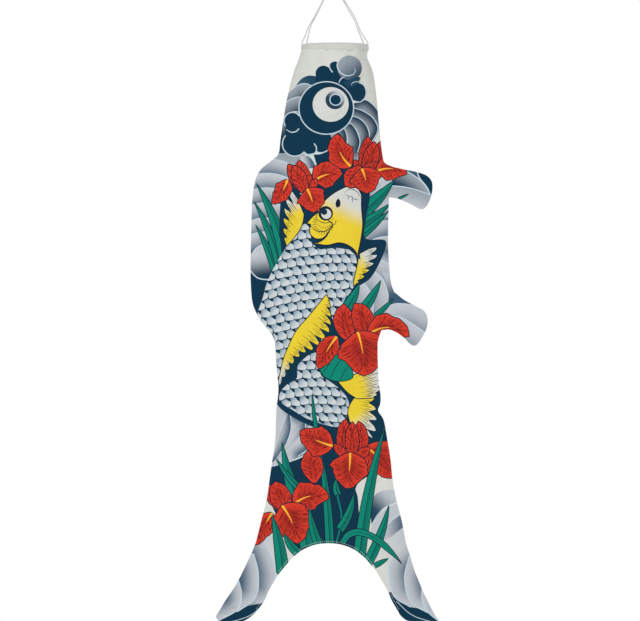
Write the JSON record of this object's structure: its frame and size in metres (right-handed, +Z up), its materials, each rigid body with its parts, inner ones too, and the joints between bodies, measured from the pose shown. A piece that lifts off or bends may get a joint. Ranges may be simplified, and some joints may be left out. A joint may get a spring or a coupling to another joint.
{
  "type": "carp streamer",
  "caption": "Printed cloth sleeve cut as a carp, open at a hooped mouth and at its forked tail, hung head up by a doubled cord bridle from a swivel.",
  "frame": {"origin": "centre of the hanging eye's hole at the top of the swivel", "axes": "+Z up along the hanging line, -Y out of the front face, +Y along the hanging eye's hole, +X towards the belly fins"},
  "size_m": [0.3875, 0.117, 1.1498],
  "materials": {
    "swivel_steel": "bright stainless",
    "cord": "twisted white cotton and polyester",
    "hoop": "translucent white polyethylene",
    "joiner": "moulded",
    "casing": "folded cream cloth",
    "printed_cloth": "printed light plain-weave polyester"
  },
  "bodies": {
    "hanging_eye": {"swivel_upper_eye": "swivel_steel"},
    "barrel": {"swivel_barrel": "swivel_steel"},
    "lower_eye": {"swivel_lower_eye": "swivel_steel"},
    "bridle": {"bridle_knot": "cord", "bridle_strand_left_outer": "cord", "bridle_strand_left_inner": "cord", "bridle_strand_right_inner": "cord", "bridle_strand_right_outer": "cord"},
    "sleeve": {"bridle_loop_left": "cord", "bridle_loop_right": "cord", "mouth_hoop": "hoop", "hoop_joiner": "joiner", "mouth_casing": "casing", "front_sleeve": "printed_cloth", "back_sleeve": "printed_cloth"},
    "rear": {"front_rear": "printed_cloth", "back_rear": "printed_cloth"},
    "dorsal_fin": {"dorsal_fin_front": "printed_cloth", "dorsal_fin_back": "printed_cloth"},
    "upper_belly_fin": {"upper_belly_fin_front": "printed_cloth", "upper_belly_fin_back": "printed_cloth"},
    "lower_belly_fin": {"lower_belly_fin_front": "printed_cloth", "lower_belly_fin_back": "printed_cloth"},
    "left_tail": {"left_tail_front": "printed_cloth", "left_tail_back": "printed_cloth"},
    "right_tail": {"right_tail_front": "printed_cloth", "right_tail_back": "printed_cloth"}
  },
  "joints": [
    {"name": "swivel_top_spin", "type": "hinge", "parent": "hanging_eye", "child": "barrel", "pos_m": [0, 0, -0.014], "axis": [0, 0, 1], "continuous": true},
    {"name": "swivel_bottom_spin", "type": "hinge", "parent": "barrel", "child": "lower_eye", "pos_m": [0, 0, -0.014], "axis": [0, 0, 1], "continuous": true},
    {"name": "bridle_sway", "type": "hinge", "parent": "lower_eye", "child": "bridle", "pos_m": [0, 0, -0.0291], "axis": [1, 0, 0], "range_deg": [-75, 75]},
    {"name": "mouth_tilt", "type": "hinge", "parent": "bridle", "child": "sleeve", "pos_m": [0.006, 0, -0.142], "axis": [1, 0, 0], "range_deg": [-80, 80]},
    {"name": "waist_bend", "type": "hinge", "parent": "sleeve", "child": "rear", "pos_m": [-0.005, 0, -0.763], "axis": [1, 0, 0], "range_deg": [-40, 40]},
    {"name": "dorsal_fin_flap", "type": "hinge", "parent": "sleeve", "child": "dorsal_fin", "pos_m": [-0.1045, 0, -0.505], "axis": [0.049, 0, -0.9988], "range_deg": [-80, 80], "stiffness_Nm_per_rad": 0.002},
    {"name": "upper_belly_fin_flap", "type": "hinge", "parent": "sleeve", "child": "upper_belly_fin", "pos_m": [0.1025, 0, -0.38275], "axis": [-0.1322, 0, -0.9912], "range_deg": [-80, 80], "stiffness_Nm_per_rad": 0.002},
    {"name": "lower_belly_fin_flap", "type": "hinge", "parent": "sleeve", "child": "lower_belly_fin", "pos_m": [0.097, 0, -0.605], "axis": [-0.3162, 0, -0.9487], "range_deg": [-80, 80], "stiffness_Nm_per_rad": 0.002},
    {"name": "left_tail_flap", "type": "hinge", "parent": "rear", "child": "left_tail", "pos_m": [-0.105, 0, -1.03], "axis": [1, 0, 0], "range_deg": [-80, 80]},
    {"name": "right_tail_flap", "type": "hinge", "parent": "rear", "child": "right_tail", "pos_m": [0.097, 0, -1.03], "axis": [1, 0, 0], "range_deg": [-80, 80]}
  ]
}
